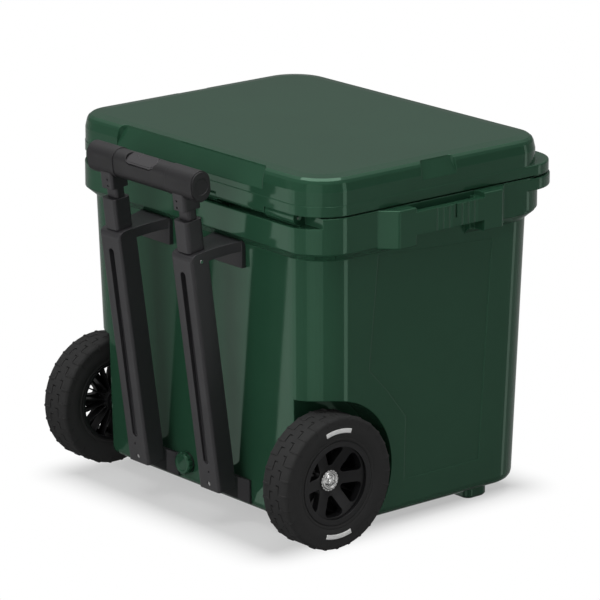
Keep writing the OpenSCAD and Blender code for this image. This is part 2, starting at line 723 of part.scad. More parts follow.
module tyre() color(black) wheel_frame() {
  w = wheel_w / 2;
  difference() {
    rotate_extrude() polygon([[rim_r, -w + 3], [rim_r + 4, -w + 1.5], [rim_r + 14, -w + 1],
      [wheel_r - 11, -w + 1.5], [wheel_r - 4, -w + 4], [wheel_r - 1, -w + 8], [wheel_r, -w + 13],
      [wheel_r, w - 13], [wheel_r - 1, w - 8], [wheel_r - 4, w - 4], [wheel_r - 11, w - 1.5],
      [rim_r + 14, w - 1], [rim_r + 4, w - 1.5], [rim_r, w - 3]]);
    rotate_extrude() for (z = [-6, 6]) translate([wheel_r - 2.5, z - 1.2]) square([4, 2.4]);
    for (i = [0 : lugs - 1], s = [-1, 1]) rotate((i + (s > 0 ? 0.5 : 0)) * 360 / lugs)
      translate([wheel_r - 2.2, -0.9, s > 0 ? 7 : -w + 9]) cube([6, 1.8, w - 16]);
  }
  for (i = [0 : lugs - 1], s = [-1, 1]) rotate((i + (s > 0 ? 0 : 0.5)) * 360 / lugs)
    translate([wheel_r - 14, -5, s > 0 ? w - 10 : -w]) cube([12, 10, 10]);
}

// Pull handle, drawn along its lean

module tube_2d(w, d, t, r) difference() {
  rc(w, d, r);
  rc(w - 2 * t, d - 2 * t, max(r - t, 0.6));
}

// Width of an arm at t, from 0 at the rail to 1 at the wall
function arm_w(t) = rail_w / 2 + (plate_w - rail_w) / 2 * t * t;

module rail_section() let (x = rail_w / 2) {
  translate([-x, -rail_d]) square([2 * x, rail_d - 4]);
  translate([-x + 4, -rail_d]) square([2 * x - 8, rail_d]);
  for (s = [-1, 1]) translate([s * (x - 4), -4]) circle(4, $fn = 40);
}

module rail_foot() {
  yb = rail_y + rail_lo * sin(lean);
  zb = rail_lo * cos(lean);
  wy = wall_back(foot_z);
  intersection() {
    profile_x(rail_x - plate_w / 2, rail_x + plate_w / 2) polygon([[wy - 4, foot_z], [wy + 1, foot_z],
      [yb - 6, zb + 0.6], [yb - rail_d + 8, zb + 22], [wy + 4, foot_z + 34], [wy - 4, foot_z + 34]]);
    linear_extrude(200) translate([rail_x, 0]) polygon([[-plate_w / 2, wy - 9], [plate_w / 2, wy - 9],
      [plate_w / 2, wy + 4], [rail_w / 2 - 0.6, wy + 17], [rail_w / 2 - 0.6, yb + 9],
      [-rail_w / 2 + 0.6, yb + 9], [-rail_w / 2 + 0.6, wy + 17], [-plate_w / 2, wy + 4]]);
  }
}

module rail_arm() translate([rail_x, 0, rail_hi - 14]) linear_extrude(14) polygon(concat(
  [[rail_w / 2 - 1.2, -9]], [for (i = [0 : 6]) [arm_w(i / 6) - 0.01 * i, 5 - rail_d - i * 8.6]],
  [[plate_w / 2, -100], [-plate_w / 2, -100]],
  [for (i = [6 : -1 : 0]) [-arm_w(i / 6) + 0.01 * i, 5 - rail_d - i * 8.6]], [[-rail_w / 2 + 1.2, -9]]));

module rail() color(black) difference() {
  union() {
    leaning() {
      intersection() {
        translate([rail_x, 0, rail_lo]) rotate([-rail_tilt, 0, 0])
          linear_extrude(rail_hi - rail_lo + 4) rail_section();
        translate([rail_x - 40, -60, 0]) cube([80, 90, rail_hi]);
      }
      rail_arm();
    }
    translate([rail_x - plate_w / 2, wall_b - 6, slope_z - 33]) cube([plate_w, 12, 33 - rest]);
    rail_foot();
  }
  wall_cut();
  leaning() {
    translate([rail_x + 3, 1, rail_lo + 27]) rotate([90, 0, 0]) cylinder(h = 4, r = 1.6);
    translate([rail_x, tube_v, rail_lo + 12]) linear_extrude(400)
      rc(tube_w + 2 * tube_gap, tube_d + 2 * tube_gap, 5);
    // groove down the back, deeper towards the top
    let (l = rail_hi - rail_lo - 64)
      translate([rail_x, -3, rail_lo + 38 + l / 2]) rotate([-90, 0, 0]) linear_extrude(30)
        rotate(90) stadium(l, groove_w, $fn = 40);
    translate([rail_x + rail_w / 2 - 4, side_screw_v, rail_hi - 12]) rotate([0, 90, 0])
      cylinder(h = 9, r = side_screw_r + 0.1);
    translate([rail_x, 1, rail_lo + 9]) rotate([90, 0, 0]) cylinder(h = 5, r = 3.1);
    // rounded top edge at the back
    translate([0, back_hi, rail_hi - 12]) profile_x(rail_x - 40, rail_x + 40) polygon(concat(
      [for (a = [0 : 15 : 90]) [-12 + 12 * cos(a), 12 * sin(a)]], [[-12, 20], [9, 20], [9, 0]]));
  }
}

// Everything inside the back wall's outer face
module wall_cut() profile_x(-hx, hx) polygon([[wall_back(-60) + thin, -60],
  [wall_back(slope_z - 1) + thin, slope_z - 1], [wall_b + rest, slope_z - 0.2], [hy, band_z],
  [hy + rest, rim_z], [wall_b - 120, rim_z], [wall_b - 120, -60]]);

module rail_screws() color(steel) both() {
  leaning() {
    translate([rail_x, -0.6, rail_lo + 9]) rotate([90, 0, 0]) cylinder(h = 3.4, r = 3);
    translate([rail_x + rail_w / 2 - 3, side_screw_v, rail_hi - 12]) rotate([0, 90, 0])
      cylinder(h = 3.6, r = side_screw_r);
  }
}

module middle_tubes() color(steel) both() leaning() translate([rail_x, tube_v, mid_lo])
  linear_extrude(mid_hi - 6 - mid_lo) tube_2d(tube_w, tube_d, mid_t, 4.7);

module tube_collars() color(black) both() leaning() translate([rail_x, tube_v, rail_hi + rest])
  difference() {
    translate([0, 1, 0]) linear_extrude(tube_collar) rc(collar_w, collar_w, 5);
    translate([0, 0, -1]) linear_extrude(tube_collar - 5) rc(tube_w + 0.04, tube_d + 0.04, 4.7);
    linear_extrude(tube_collar + 5) rc(inner_w + 2 * tube_gap, inner_d + 2 * tube_gap, 2.5);
  }

module inner_tubes() color(steel) both() leaning() translate([rail_x, tube_v, inner_lo])
  linear_extrude(socket_lo + 12 - inner_lo) tube_2d(inner_w, inner_d, inner_t, 2.2);

module grip_2d(r) {
  for (s = [-1, 1]) translate([0, s * grip_off]) circle(r);
  translate([-r, -grip_off]) square([2 * r, 2 * grip_off]);
}

module grip_bar(x0, x1, g) translate([0, grip_v, grip_w]) profile_x(x0, x1) grip_2d(grip_d / 2 + g);

module grip_sockets() color(black) both() leaning() difference() {
  translate([rail_x, tube_v, 0]) {
    translate([0, 0, neck_lo]) linear_extrude(neck_h + 1) rc(inner_w + 5, inner_d + 6, 4);
    translate([0, 0, socket_lo]) linear_extrude(socket_h + 12) rc(socket_w, collar_w, 4);
  }
  translate([rail_x, tube_v, neck_lo - 1]) linear_extrude(socket_lo + 13 - neck_lo)
    rc(inner_w + 0.04, inner_d + 0.04, 2.2);
  grip_bar(0, grip_len, grip_fat);
  for (w = [4, 13]) translate([rail_x - 3, tube_v + collar_w / 2 + 2, socket_lo + w]) rotate([90, 0, 0])
    cylinder(h = 4, r = 1.6);
}

module button_frame() leaning() translate([0, grip_v, grip_w + grip_off]) rotate([-button_turn, 0, 0])
  children();

module stadium(l, w) {
  square([l - w, w], center = true);
  for (s = [-1, 1]) translate([s * (l - w) / 2, 0]) circle(w / 2);
}

module grip_centre() color(black) difference() {
  leaning() grip_bar(-grip_mid / 2, grip_mid / 2, 0);
  button_frame() translate([0, 0, 4]) linear_extrude(20) stadium(button_len, button_wid);
}

module grip_end() color(black) leaning() {
  difference() {
    union() {
      grip_bar(grip_mid / 2, grip_len / 2 - 2, grip_fat);
      grip_bar(grip_len / 2 - 2, grip_len / 2, grip_fat - 1.5);
    }
    translate([0, grip_v, grip_w]) profile_x(grip_len / 2 - 0.8, grip_len / 2 + 1) circle(grip_d / 2 - 4);
  }
}

module release_button() color(black) button_frame() {
  t = grip_d / 2 - 2;
  translate([0, 0, 4 + button_travel + rest]) linear_extrude(t - 5 - button_travel)
    stadium(button_len - 2 * rest - 1, button_wid - 2 * rest - 1);
  translate([0, 0, t - 1 - 1]) linear_extrude(2) stadium(button_len - 6, button_wid - 6);
}

place() body_shell();
place() body_foam();
place() body_liner();
place() drain_fitting();
place() drain_plug();
place() front_feet();
place() hinge_pins();
place() lid_shell();
place() lid_foam();
place() lid_liner();
place() lid_gasket();
place() mirror([1, 0, 0]) latch();  // latch_left
place() latch();  // latch_right
place() latch_pins();
place() axle();
place() axle_spacers();
place() axle_washers();
place() axle_bolts();
place() mirror([1, 0, 0]) rim();  // rim_left
place() rim();  // rim_right
place() mirror([1, 0, 0]) bush();  // bush_left
place() bush();  // bush_right
place() mirror([1, 0, 0]) tyre();  // tyre_left
place() tyre();  // tyre_right
place() mirror([1, 0, 0]) rail();  // rail_left
place() rail();  // rail_right
place() rail_screws();
place() middle_tubes();
place() tube_collars();
place() inner_tubes();
place() grip_sockets();
place() grip_centre();
place() mirror([1, 0, 0]) grip_end();  // grip_end_left
place() grip_end();  // grip_end_right
place() release_button();
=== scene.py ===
"""Looks of the cooler on wheels: its finishes, tyres and axle caps, and the studio.

Lengths are in metres in the frame's axes: +X to the right-hand end, +Y to the wheels and the
pull handle, +Z up. The near end, with the wheel that faces the camera, is the left one.
"""

import logging
import math
from dataclasses import dataclass
from enum import Enum

import bpy
import numpy as np
from mathutils import Matrix, Vector


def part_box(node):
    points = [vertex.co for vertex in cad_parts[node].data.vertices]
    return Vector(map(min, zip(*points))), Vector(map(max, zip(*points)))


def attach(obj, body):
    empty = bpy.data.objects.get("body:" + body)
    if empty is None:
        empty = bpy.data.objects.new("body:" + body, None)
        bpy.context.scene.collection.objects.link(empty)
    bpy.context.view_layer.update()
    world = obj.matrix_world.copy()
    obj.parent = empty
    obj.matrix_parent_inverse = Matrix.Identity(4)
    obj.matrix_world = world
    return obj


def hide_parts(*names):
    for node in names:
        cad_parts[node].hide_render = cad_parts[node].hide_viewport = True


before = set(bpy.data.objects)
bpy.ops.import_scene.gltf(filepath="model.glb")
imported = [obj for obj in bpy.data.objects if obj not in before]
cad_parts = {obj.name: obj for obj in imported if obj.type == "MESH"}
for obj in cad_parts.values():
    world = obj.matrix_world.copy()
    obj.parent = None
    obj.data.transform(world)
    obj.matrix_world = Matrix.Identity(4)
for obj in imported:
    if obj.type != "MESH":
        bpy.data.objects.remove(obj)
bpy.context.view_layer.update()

log = logging.getLogger("cooler")
Colour = tuple[float, float, float]
MM = 0.001


class Side(Enum):
    """One end of the cooler, by the sign of its X."""

    LEFT = -1
    RIGHT = 1

    @property
    def word(self) -> str:
        """The side's name as the nodes spell it."""
        return self.name.lower()


class Grain(Enum):
    """Texture of a mould's wall, as (size of a dimple in metres, depth in metres)."""

    POLISHED = (0.0060, 0.00002)
    SATIN = (0.0011, 0.00005)
    SPARKED = (0.0007, 0.00012)


# ---------------------------------------------------------------- materials


class Graph:
    """A material's node tree with short calls to add and join nodes."""

    def __init__(self, name: str) -> None:
        """Start a material called name with one principled shader."""
        self.material = bpy.data.materials.new(name)
        self.material.use_nodes = True
        self.tree = self.material.node_tree
        self.shader = self.tree.nodes["Principled BSDF"]
        self.place = self.add("ShaderNodeTexCoord").outputs["Object"]

    def add(self, kind: str, **settings: object) -> bpy.types.Node:
        """Add a node.

        Args:
            kind: the node's type name.
            settings: properties of the node to set.

        Returns:
            The new node.
        """
        node = self.tree.nodes.new(kind)
        for key, value in settings.items():
            setattr(node, key, value)
        return node

    def join(self, source: bpy.types.NodeSocket, target: bpy.types.NodeSocket) -> None:
        """Link an output to an input."""
        self.tree.links.new(source, target)

    def noise(self, size: float, detail: float = 3.0,
              stretch: Colour = (1, 1, 1)) -> bpy.types.NodeSocket:
        """Fractal noise on the object's own coordinates.

        Args:
            size: length of one blotch in metres.
            detail: octaves of finer noise.
            stretch: how much longer a blotch is along each axis.

        Returns:
            The factor output.
        """
        mapping = self.add("ShaderNodeMapping")
        mapping.inputs["Scale"].default_value = [1 / (size * s) for s in stretch]
        self.join(self.place, mapping.inputs["Vector"])
        noise = self.add("ShaderNodeTexNoise")
        noise.inputs["Scale"].default_value = 1.0
        noise.inputs["Detail"].default_value = detail
        self.join(mapping.outputs["Vector"], noise.inputs["Vector"])
        return noise.outputs["Fac"]

    def spread(self, source: bpy.types.NodeSocket, low: float, high: float,
               span: tuple[float, float] = (0.3, 0.7)) -> bpy.types.NodeSocket:
        """Map a part of a factor's range onto other values.

        Args:
            source: the factor output.
            low: value at the start of the span.
            high: value at the end of the span.
            span: the part of the factor that is used.

        Returns:
            The mapped output.
        """
        ranges = self.add("ShaderNodeMapRange")
        ranges.inputs["From Min"].default_value, ranges.inputs["From Max"].default_value = span
        ranges.inputs["To Min"].default_value = low
        ranges.inputs["To Max"].default_value = high
        self.join(source, ranges.inputs["Value"])
        return ranges.outputs["Result"]

    def blend(self, factor: bpy.types.NodeSocket, dark: Colour | bpy.types.NodeSocket,
              light: Colour | bpy.types.NodeSocket) -> bpy.types.NodeSocket:
        """Mix two colours, or colour outputs.

        Args:
            factor: the output that mixes them, 0 for dark and 1 for light.
            dark: the first colour.
            light: the second colour.

        Returns:
            The mixed colour output.
        """
        mix = self.add("ShaderNodeMix", data_type="RGBA")
        self.join(factor, mix.inputs["Factor"])
        for key, colour in (("A", dark), ("B", light)):
            socket = [s for s in mix.inputs if s.name == key and s.type == "RGBA"][0]
            if isinstance(colour, bpy.types.NodeSocket):
                self.join(colour, socket)
            else:
                socket.default_value = (*colour, 1)
        return [s for s in mix.outputs if s.type == "RGBA"][0]

    def soft_edges(self, radius: float) -> bpy.types.NodeSocket:
        """Normals that round every edge, as a mould's edges are.

        Args:
            radius: how far the rounding reaches, in metres.

        Returns:
            The normal output.
        """
        bevel = self.add("ShaderNodeBevel", samples=8)
        bevel.inputs["Radius"].default_value = radius
        return bevel.outputs["Normal"]

    def edge_mask(self, rounded: bpy.types.NodeSocket) -> bpy.types.NodeSocket:
        """A mask that is 1 where the rounded normal leaves the true one, along edges, for a painted
        edge highlight.

        Args:
            rounded: normals from soft_edges.

        Returns:
            The mask output.
        """
        dot = self.add("ShaderNodeVectorMath", operation="DOT_PRODUCT")
        true = self.add("ShaderNodeNewGeometry").outputs["Normal"]
        self.join(rounded, dot.inputs[0])
        self.join(true, dot.inputs[1])
        return self.spread(dot.outputs["Value"], 1.0, 0.0, (0.80, 0.98))

    def bump(self, height: bpy.types.NodeSocket, depth: float,
             under: bpy.types.NodeSocket | None = None) -> bpy.types.NodeSocket:
        """Bump a surface.

        Args:
            height: the output that gives the relief, from 0 to 1.
            depth: the relief's depth in metres.
            under: normals that the bump lies on.

        Returns:
            The normal output.
        """
        bump = self.add("ShaderNodeBump")
        bump.inputs["Strength"].default_value = 1.0
        bump.inputs["Distance"].default_value = depth
        self.join(height, bump.inputs["Height"])
        if under is not None:
            self.join(under, bump.inputs["Normal"])
        return bump.outputs["Normal"]

    def set(self, **sockets: object) -> None:
        """Set plain values on the shader's sockets.

        Args:
            sockets: each value by its socket's name, with _ for a space.
        """
        for key, value in sockets.items():
            self.shader.inputs[key.replace("_", " ")].default_value = value


@dataclass(frozen=True)
class Plastic:
    """Injection or rotation moulded plastic.

    Tone drifts by `drift` over a hand's width, the mould's grain is a bump, and edges are
    rounded by `edge` and painted a little paler, as a painted edge highlight.
    """

    name: str
    colour: Colour
    roughness: float
    grain: Grain
    edge: float = 0.0010
    drift: float = 0.10
    # how much paler the edges are painted: a painted edge highlight
    rub: float = 1.25
    tint: Colour = (1, 1, 1)
    specular: float = 0.5

    def make(self) -> bpy.types.Material:
        """Build the material.

        Returns:
            The material.
        """
        graph = Graph(self.name)
        size, depth = self.grain.value
        rounded = graph.soft_edges(self.edge)
        # duller and brighter give a random tone; the third colour is the painted edge highlight,
        # laid along edges by the edge mask
        duller, brighter, highlight_colour = (tuple(c * gain for c in self.colour)
                                  for gain in (1 - self.drift, 1 + self.drift, self.rub))
        tone = graph.blend(graph.noise(0.09), duller, brighter)
        edge_lit = graph.blend(graph.edge_mask(rounded), tone, highlight_colour)
        graph.join(edge_lit, graph.shader.inputs["Base Color"])
        smear = graph.noise(0.035, 5.0)
        graph.join(graph.spread(smear, self.roughness * 0.85, self.roughness * 1.15),
                   graph.shader.inputs["Roughness"])
        dimpled = graph.bump(graph.noise(size, 2.0), depth, rounded)
        graph.join(dimpled, graph.shader.inputs["Normal"])
        graph.set(Specular_IOR_Level=self.specular, Specular_Tint=(*self.tint, 1))
        return graph.material


@dataclass(frozen=True)
class Rubber:
    """Moulded rubber: dull, dusty in random blotches and finely pitted."""

    name: str
    colour: Colour
    roughness: float
    dust: Colour
    edge: float = 0.0008

    def make(self) -> bpy.types.Material:
        """Build the material.

        Returns:
            The material.
        """
        graph = Graph(self.name)
        rounded = graph.soft_edges(self.edge)
        dusty = graph.spread(graph.noise(0.018, 6.0), 0.0, 0.35, (0.45, 0.75))
        graph.join(graph.blend(dusty, self.colour, self.dust), graph.shader.inputs["Base Color"])
        scuffs = graph.spread(graph.noise(0.006, 4.0), self.roughness - 0.06, self.roughness + 0.06)
        graph.join(scuffs, graph.shader.inputs["Roughness"])
        pits = graph.bump(graph.noise(0.0006, 2.0), 0.00008, rounded)
        graph.join(pits, graph.shader.inputs["Normal"])
        graph.set(Specular_IOR_Level=0.35)
        return graph.material


@dataclass(frozen=True)
class Metal:
    """Drawn or plated metal with fine lines along one axis."""

    name: str
    colour: Colour
    roughness: float
    along: int
    line: float = 0.0004
    depth: float = 0.00002

    def make(self) -> bpy.types.Material:
        """Build the material.

        Returns:
            The material.
        """
        graph = Graph(self.name)
        stretch = tuple(60.0 if axis == self.along else 1.0 for axis in range(3))
        lines = graph.noise(self.line, 3.0, stretch)
        graph.join(graph.blend(lines, tuple(c * 0.86 for c in self.colour), self.colour),
                   graph.shader.inputs["Base Color"])
        graph.join(graph.spread(lines, self.roughness * 0.75, self.roughness * 1.25),
                   graph.shader.inputs["Roughness"])
        brushed = graph.bump(lines, self.depth, graph.soft_edges(0.0004))
        graph.join(brushed, graph.shader.inputs["Normal"])
        graph.set(Metallic=1.0)
        return graph.material


@dataclass(frozen=True)
class Foam:
    """Rigid foam: pale, matt and full of small open cells."""

    name: str
    colour: Colour
    cell: float = 0.0018

    def make(self) -> bpy.types.Material:
        """Build the material.

        Returns:
            The material.
        """
        graph = Graph(self.name)
        cells = graph.add("ShaderNodeTexVoronoi", feature="SMOOTH_F1")
        cells.inputs["Scale"].default_value = 1 / self.cell
        graph.join(graph.place, cells.inputs["Vector"])
        duller = tuple(c * 0.92 for c in self.colour)
        graph.join(graph.blend(graph.noise(0.03), duller, self.colour),
                   graph.shader.inputs["Base Color"])
        graph.join(graph.bump(cells.outputs["Distance"], 0.0004), graph.shader.inputs["Normal"])
        graph.set(Roughness=0.9, Specular_IOR_Level=0.2)
        return graph.material


class Finish(Enum):
    """Every finish on the cooler, each made once and then shared."""

    # the gain on each finish's edges paints its edges paler: a painted edge highlight
    SHELL = Plastic("green_shell", (0.0200, 0.0670, 0.0375), 0.09, Grain.POLISHED, edge=0.0016,
                    tint=(0.57, 1.0, 0.73), specular=0.45)
    LINER = Plastic("white_liner", (0.78, 0.79, 0.77), 0.34, Grain.SATIN, drift=0.02, rub=1.03)
    FRAME = Plastic("black_frame", (0.0280, 0.0272, 0.0296), 0.38, Grain.SPARKED, edge=0.0012,
                    rub=1.6)
    GRIP = Plastic("black_grip", (0.0160, 0.0156, 0.0168), 0.50, Grain.SPARKED, rub=1.5)
    RIM = Plastic("black_rim", (0.0095, 0.0095, 0.0102), 0.36, Grain.SATIN, edge=0.0012, rub=1.8,
                  specular=0.35)
    BUTTON = Plastic("black_button", (0.045, 0.043, 0.046), 0.25, Grain.SATIN, edge=0.0006)
    TYRE = Rubber("tyre_rubber", (0.0065, 0.0065, 0.0072), 0.55, (0.016, 0.0155, 0.015))
    LATCH = Rubber("latch_rubber", (0.016, 0.016, 0.017), 0.48, (0.03, 0.03, 0.03))
    SEAL = Rubber("lid_seal", (0.03, 0.03, 0.032), 0.6, (0.05, 0.05, 0.05))
    MARK = Plastic("white_mark", (0.93, 0.93, 0.92), 0.45, Grain.SATIN, edge=0.0002, drift=0.03,
                   rub=1.0)
    CHROME = Metal("bright_plate", (0.90, 0.90, 0.89), 0.08, 0, depth=0.00001)
    STEEL = Metal("zinc_plate", (0.66, 0.66, 0.65), 0.24, 0)
    TUBE = Metal("drawn_tube", (0.055, 0.055, 0.058), 0.34, 2)
    FOAM = Foam("rigid_foam", (0.84, 0.78, 0.58))

    @property
    def material(self) -> bpy.types.Material:
        """The finish's material, built the first time that it is asked for."""
        return bpy.data.materials.get(self.value.name) or self.value.make()


def dress(finish: Finish, *nodes: str) -> None:
    """Give CAD nodes a finish.

    Args:
        finish: the finish to show.
        nodes: names of the nodes.
    """
    for node in nodes:
        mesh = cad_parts[node].data
        mesh.materials.clear()
        mesh.materials.append(finish.material)


# ------------------------------------------------------------------ surfaces


def sheet_faces(rows: int, columns: int, around: bool, closed: bool) -> np.ndarray:
    """Quads of a grid of points, in rows and columns.

    Args:
        rows: number of rows of points.
        columns: number of points in a row.
        around: whether each row's last point joins its first.
        closed: whether the last row joins the first.

    Returns:
        An array of four point numbers for each quad.
    """
    row = np.arange(rows if closed else rows - 1)[:, None]
    column = np.arange(columns if around else columns - 1)[None, :]
    nxt_row, nxt_column = (row + 1) % rows, (column + 1) % columns
    corners = [row * columns + column, row * columns + nxt_column,
               nxt_row * columns + nxt_column, nxt_row * columns + column]
    return np.stack(np.broadcast_arrays(*corners), -1).reshape(-1, 4)


def closed_slab(top: np.ndarray, low: np.ndarray) -> tuple[np.ndarray, np.ndarray]:
    """A closed shell between two grids of points, with a wall that joins their rims.

    Args:
        top: the outer grid, in rows and columns.
        low: the inner grid, of the same shape.

    Returns:
        The points, and four point numbers for each face.
    """
    rows, columns = top.shape[:2]
    count = rows * columns
    grid = sheet_faces(rows, columns, False, False)
    ring = np.concatenate([np.arange(columns), np.arange(1, rows) * columns + columns - 1,
                           (rows - 1) * columns + np.arange(columns - 2, -1, -1),
                           np.arange(rows - 2, 0, -1) * columns])
    after = np.roll(ring, -1)
    wall = np.stack([ring, ring + count, after + count, after], -1)
    points = np.concatenate([top.reshape(-1, 3), low.reshape(-1, 3)])
    return points, np.concatenate([grid, grid[:, ::-1] + count, wall])


def piece(name: str, points: np.ndarray, faces: np.ndarray | list[list[int]], finish: Finish,
          body: str, flip: bool = False) -> bpy.types.Object:
    """Make a mesh object that rides on a body.

    Args:
        name: the piece's name.
        points: its vertices, three numbers each.
        faces: the point numbers of each face.
        finish: its finish.
        body: the CAD body that it moves with.
        flip: whether the faces are turned over.

    Returns:
        The object.
    """
    mesh = bpy.data.meshes.new(name)
    order = [list(face)[::-1] if flip else list(face) for face in faces]
    mesh.from_pydata(points.reshape(-1, 3).tolist(), [], order)
    mesh.polygons.foreach_set("use_smooth", np.ones(len(mesh.polygons), bool))
    mesh.materials.append(finish.material)
    mesh.update()
    made = bpy.data.objects.new(name, mesh)
    bpy.context.scene.collection.objects.link(made)
    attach(made, body)
    log.info("made %s on %s", name, body)
    return made


def ease(t: np.ndarray) -> np.ndarray:
    """A smooth step from 0 to 1 as t goes from 0 to 1."""
    t = np.clip(t, 0, 1)
    return t * t * (3 - 2 * t)


def box_of(node: str) -> tuple[np.ndarray, np.ndarray]:
    """A node's lowest and highest corner as arrays."""
    low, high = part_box(node)
    return np.array(low), np.array(high)


# ---------------------------------------------------------------- assemblies


@dataclass
class Chest:
    """The insulated tub with its drain, feet and hinge pins."""

    def dress(self) -> None:
        """Finish the tub, its lining and what is fixed to it."""
        dress(Finish.SHELL, "body_shell", "front_feet", "drain_plug")
        dress(Finish.LINER, "body_liner")
        dress(Finish.FOAM, "body_foam")
        dress(Finish.FRAME, "drain_fitting")
        dress(Finish.CHROME, "hinge_pins")

    def build(self) -> None:
        """Build and dress the chest."""
        self.dress()


@dataclass
class Lid:
    """The hinged lid with its lining, seal and latches."""

    def dress(self) -> None:
        """Finish the lid and its latches."""
        dress(Finish.SHELL, "lid_shell")
        dress(Finish.LINER, "lid_liner")
        dress(Finish.FOAM, "lid_foam")
        dress(Finish.SEAL, "lid_gasket")
        dress(Finish.LATCH, "latch_left", "latch_right")
        dress(Finish.STEEL, "latch_pins")

    def build(self) -> None:
        """Build and dress the lid."""
        self.dress()


@dataclass
class Wheel:
    """One wheel: a tyre with a cleated tread on a spoked rim.

    The tyre is a section swept round the axle. The section is a closed loop with flat sides, a
    level crown and quarter circles between them. Low cleats cross the shoulders, and short
    grooves are pressed in between.

    Attributes:
        side: the end of the cooler that it stands at.
        lugs: cleats round one shoulder.
        cleat: half of a cleat's width.
        cleat_rise: height of a cleat above the tread.
        cleat_reach: how far a cleat comes in from the tyre's face.
        groove_at: place of the grooves that run round, from the middle of the tread.
        groove: half of such a groove's width.
        groove_span: share of a lug that it runs for.
        cut: half of a cross cut's width.
        cut_depth: depth of grooves and cuts.
        cut_end: where a cross cut stops, from the middle of the tread.
        shoulder: radius of the tread's edge.
        tread_side: how far down the side the relief goes.
        wall: places on the side wall, as inset from the face and height above the rim.
        upper_wall: places above them, as inset from the face and depth below the tread.
        crown: places across the middle of the tread.
        mark_span: angle that a pale arc covers.
        mark_band: radii of a pale arc's edges.
        mark_rise: how far a pale arc stands off the wall.
    """

    side: Side
    lugs: int = 28
    cleat: float = 1.3 * MM
    cleat_rise: float = 1.1 * MM
    cleat_reach: float = 15 * MM
    groove_at: float = 8.5 * MM
    groove: float = 0.5 * MM
    groove_span: float = 0.56
    cut: float = 0.7 * MM
    cut_depth: float = 2.0 * MM
    cut_end: float = 3.0 * MM
    shoulder: float = 4.0 * MM
    tread_side: float = 10 * MM
    wall: tuple[tuple[float, float], ...] = (
        (3.5, 0.0), (2.2, 2.0), (1.8, 4.0), (2.2, 5.2), (1.4, 7.0), (0.3, 12.0), (0.0, 18.0))
    upper_wall: tuple[tuple[float, float], ...] = ((0.4, 12.0), (0.4, 9.5), (0.4, 7.2), (0.4, 5.6))
    crown: tuple[float, ...] = (9.2, 8.9, 8.1, 7.8, 6.9, 4.5, 3.2, 2.8, 0.0)
    mark_span: float = math.radians(34)
    mark_band: tuple[float, float] = (69.0 * MM, 75.2 * MM)
    mark_rise: float = 0.12 * MM

    def __post_init__(self) -> None:
        """Read the axle's place and the tyre's size from the CAD nodes."""
        low, high = box_of(f"tyre_{self.side.word}")
        self.centre = (low + high) / 2
        self.radius = float(high[2] - low[2]) / 2
        self.half = float(high[0] - low[0]) / 2
        low, high = box_of(f"rim_{self.side.word}")
        self.rim = float(high[2] - low[2]) / 2

    @property
    def body(self) -> str:
        """The body that the wheel's pieces ride on."""
        return f"wheel_{self.side.word}"

    @property
    def pitch(self) -> float:
        """Length of one lug round the tread."""
        return 2 * math.pi * self.radius / self.lugs

    def gap(self, phase: np.ndarray, start: np.ndarray | float) -> np.ndarray:
        """Distance round the tread from each phase to the nearest start."""
        return np.abs((phase - start + 0.5) % 1 - 0.5) * self.pitch

    def dress(self) -> None:
        """Finish the rim and its bush."""
        dress(Finish.RIM, f"rim_{self.side.word}")
        dress(Finish.TYRE, f"tyre_{self.side.word}")
        dress(Finish.STEEL, f"bush_{self.side.word}")

    def spin(self, across: np.ndarray, radius: np.ndarray, turn: np.ndarray) -> np.ndarray:
        """Points at a place across the wheel, outward from its middle, a radius and a turn."""
        across, radius, turn = np.broadcast_arrays(across, radius, turn)
        return np.stack([self.centre[0] + self.side.value * across,
                         self.centre[1] + radius * np.cos(turn),
                         self.centre[2] + radius * np.sin(turn)], -1)

    def section(self) -> tuple[np.ndarray, np.ndarray]:
        """The tyre's section, once round from the bore.

        It goes up the side wall, round the shoulder by a quarter of a circle, over the level
        crown to the middle, back down as the mirror image, and across the bore.

        Returns:
            Places across the tyre, and their radii.
        """
        face = self.half - 0.6 * MM
        top = self.radius - 0.2 * MM - self.cleat_rise
        edge = face - 0.4 * MM
        half = [(face - inset * MM, self.rim + rise * MM) for inset, rise in self.wall]
        half += [(face - inset * MM, top - depth * MM) for inset, depth in self.upper_wall]
        half += [(edge - self.shoulder * (1 - math.cos(a)), top - self.shoulder * (1 - math.sin(a)))
                 for a in np.radians([0, 20, 45, 70, 90])]
        half += [(x, top) for x in np.linspace(face - 6.0 * MM, self.groove_at + 1.2 * MM, 5)]
        half += [(x * MM, top) for x in self.crown]
        loop = half + [(-x, r) for x, r in reversed(half[:-1])]
        loop += [(x, self.rim) for x in np.linspace(6.0 * MM - face, face - 6.0 * MM, 6)]
        return np.array([x for x, _ in loop]), np.array([r for _, r in loop])

    def relief(self, across: np.ndarray, radius: np.ndarray, phase: np.ndarray) -> np.ndarray:
        """How far the tread stands out: up on the cleats, down in the grooves and 0 elsewhere.

        A cleat crosses each shoulder once a lug, half a lug later on the other shoulder. A short
        groove runs round the tread from the cleat's end, and a cross cut starts where it ends.

        Args:
            across: place across the tyre.
            radius: radius of the place before the relief.
            phase: place along a lug, from 0 to 1.

        Returns:
            The height of each place in metres.
        """
        shift = np.where(across > 0, 0.0, 0.5)
        off = np.abs(across)
        tread = radius > self.radius - self.tread_side
        cleat = (self.gap(phase, shift) < self.cleat) & (off > self.half - self.cleat_reach) & tread
        groove = np.abs(off - self.groove_at) < self.groove
        groove &= (phase - shift) % 1 < self.groove_span
        cut = self.gap(phase, shift + self.groove_span) < self.cut
        cut &= (off < self.groove_at + self.groove) & (off > self.cut_end)
        low = np.where((groove | cut) & tread, -self.cut_depth, 0.0)
        return np.where(cleat, self.cleat_rise, low)

